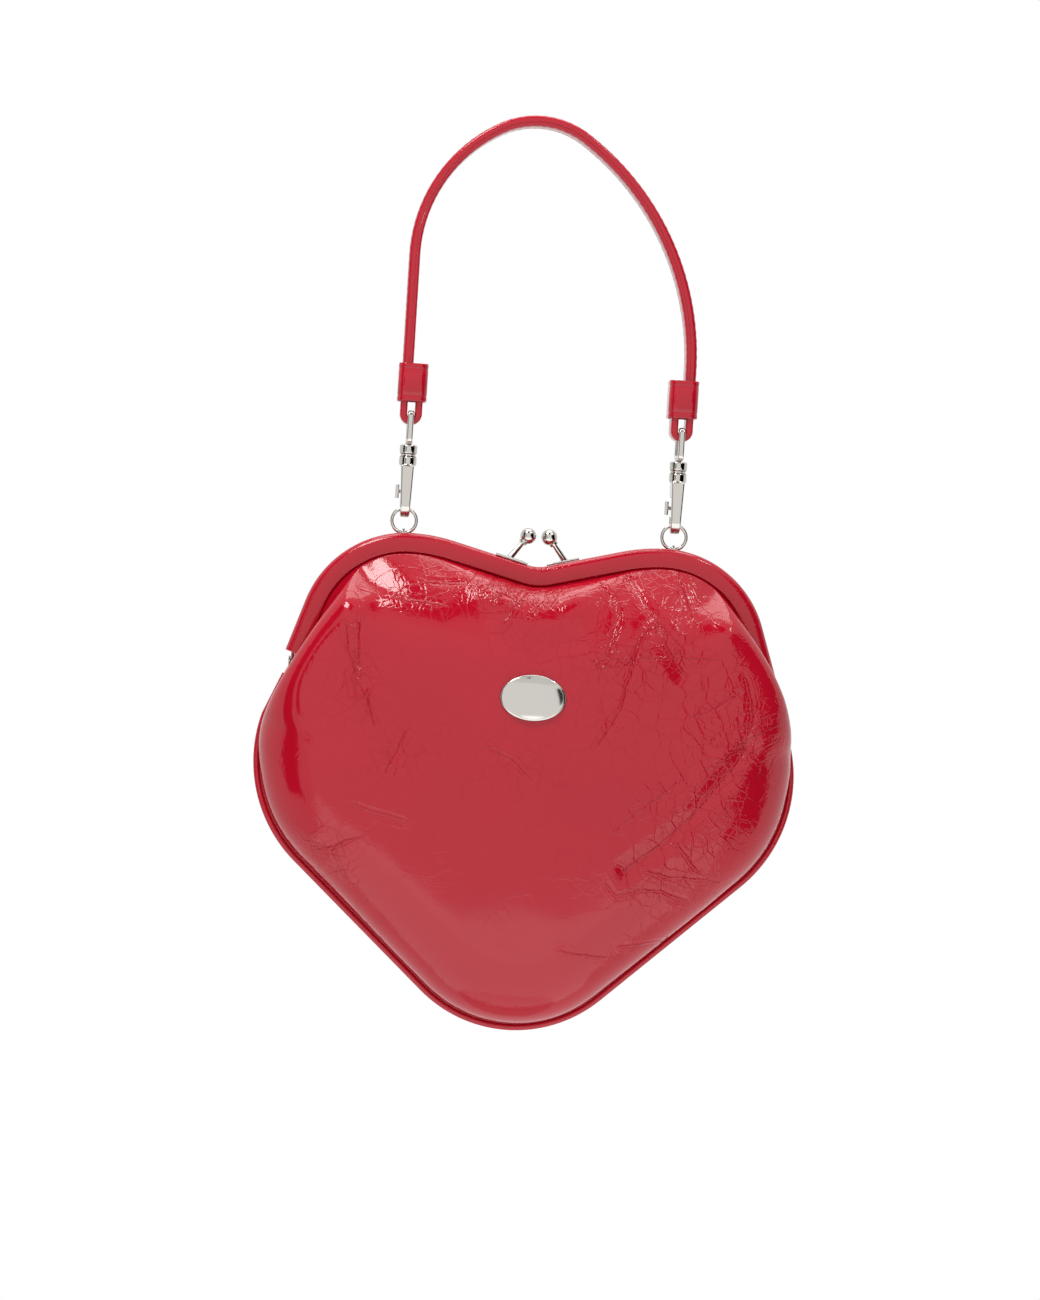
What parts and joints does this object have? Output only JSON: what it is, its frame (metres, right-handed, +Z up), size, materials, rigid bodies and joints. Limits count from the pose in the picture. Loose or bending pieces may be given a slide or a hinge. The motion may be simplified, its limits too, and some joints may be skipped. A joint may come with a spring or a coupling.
{
  "type": "heart shaped purse",
  "caption": "Heart shaped kiss-lock frame purse in crinkled patent leather, carried by a short strap on swivel snap hooks and rings.",
  "frame": {"origin": "underside of the strap over the middle of the bag, where a hand or peg carries it", "axes": "+X to the viewer's right along the mouth, -Y out of the front, +Z up"},
  "size_m": [0.198, 0.0624, 0.3332],
  "materials": {
    "patent": "glossy crinkled red patent leather",
    "strap": "glossy red patent leather, stitched",
    "lining": "dark red woven lining",
    "nickel": "polished nickel plate",
    "frame_steel": "pressed steel channel",
    "packing": "twisted paper cord"
  },
  "bodies": {
    "handle": {"handle_strap": "strap", "handle_lining": "strap", "left_keeper": "strap", "right_keeper": "strap"},
    "left_eye": {"left_swivel_eye": "nickel"},
    "right_eye": {"right_swivel_eye": "nickel"},
    "left_hook": {"left_hook": "nickel", "left_gate_pin": "nickel"},
    "right_hook": {"right_hook": "nickel", "right_gate_pin": "nickel"},
    "left_gate": {"left_gate": "nickel"},
    "right_gate": {"right_gate": "nickel"},
    "left_ring": {"left_ring": "nickel"},
    "right_ring": {"right_ring": "nickel"},
    "back_frame": {"back_frame": "frame_steel", "back_frame_cover": "patent", "back_packing_cord": "packing", "back_clasp": "nickel", "back_clasp_base": "nickel", "back_facing": "lining", "left_ring_lug": "nickel", "right_ring_lug": "nickel", "left_hinge_pin": "nickel", "right_hinge_pin": "nickel"},
    "pouch": {"front_panel": "patent", "back_panel": "patent", "piping": "patent", "front_lining": "lining", "back_lining": "lining", "badge": "nickel"},
    "front_frame": {"front_frame": "frame_steel", "front_frame_cover": "patent", "front_packing_cord": "packing", "front_clasp": "nickel", "front_clasp_base": "nickel", "front_facing": "lining"}
  },
  "joints": [
    {"name": "left_eye_rock", "type": "hinge", "parent": "handle", "child": "left_eye", "pos_m": [-0.0494, 0, -0.10572], "axis": [0, 1, 0], "range_deg": [-15, 15]},
    {"name": "left_ring_turn", "type": "hinge", "parent": "left_eye", "child": "left_ring", "pos_m": [-0.0494, 0, -0.14449], "axis": [0, 1, 0], "range_deg": [-15, 15]},
    {"name": "left_hook_swivel", "type": "hinge", "parent": "left_eye", "child": "left_hook", "pos_m": [-0.0494, 0, -0.12782], "axis": [0, 0, 1], "range_deg": [-25, 25]},
    {"name": "left_gate_open", "type": "hinge", "parent": "left_hook", "child": "left_gate", "pos_m": [-0.0494, 0.0035, -0.12782], "axis": [-1, 0, 0], "range_deg": [0, 20], "stiffness_Nm_per_rad": 0.001, "springref_deg": -5.73},
    {"name": "right_eye_rock", "type": "hinge", "parent": "handle", "child": "right_eye", "pos_m": [0.0494, 0, -0.10572], "axis": [0, 1, 0], "range_deg": [-15, 15]},
    {"name": "right_ring_turn", "type": "hinge", "parent": "right_eye", "child": "right_ring", "pos_m": [0.0494, 0, -0.14449], "axis": [0, 1, 0], "range_deg": [-15, 15]},
    {"name": "right_hook_swivel", "type": "hinge", "parent": "right_eye", "child": "right_hook", "pos_m": [0.0494, 0, -0.12782], "axis": [0, 0, 1], "range_deg": [-25, 25]},
    {"name": "right_gate_open", "type": "hinge", "parent": "right_hook", "child": "right_gate", "pos_m": [0.0494, 0.0035, -0.12782], "axis": [-1, 0, 0], "range_deg": [0, 20], "stiffness_Nm_per_rad": 0.001, "springref_deg": -5.73},
    {"name": "bag_swing", "type": "hinge", "parent": "left_ring", "child": "back_frame", "pos_m": [-0.0494, 0, -0.14894], "axis": [1, 0, 0], "range_deg": [-60, 60]},
    {"name": "pouch_tilt", "type": "hinge", "parent": "back_frame", "child": "pouch", "pos_m": [0, 0, -0.19833], "axis": [1, 0, 0], "range_deg": [0, 32], "deforming": ["front_panel", "back_panel"]},
    {"name": "front_open", "type": "hinge", "parent": "pouch", "child": "front_frame", "pos_m": [0, 0, -0.19833], "axis": [1, 0, 0], "range_deg": [0, 32]}
  ],
  "couplings": [
    {"joint": "right_eye_rock", "follows": "left_eye_rock", "ratio": 1},
    {"joint": "left_ring_turn", "follows": "left_eye_rock", "ratio": -1},
    {"joint": "right_ring_turn", "follows": "left_eye_rock", "ratio": -1},
    {"joint": "front_open", "follows": "pouch_tilt", "ratio": 1}
  ]
}
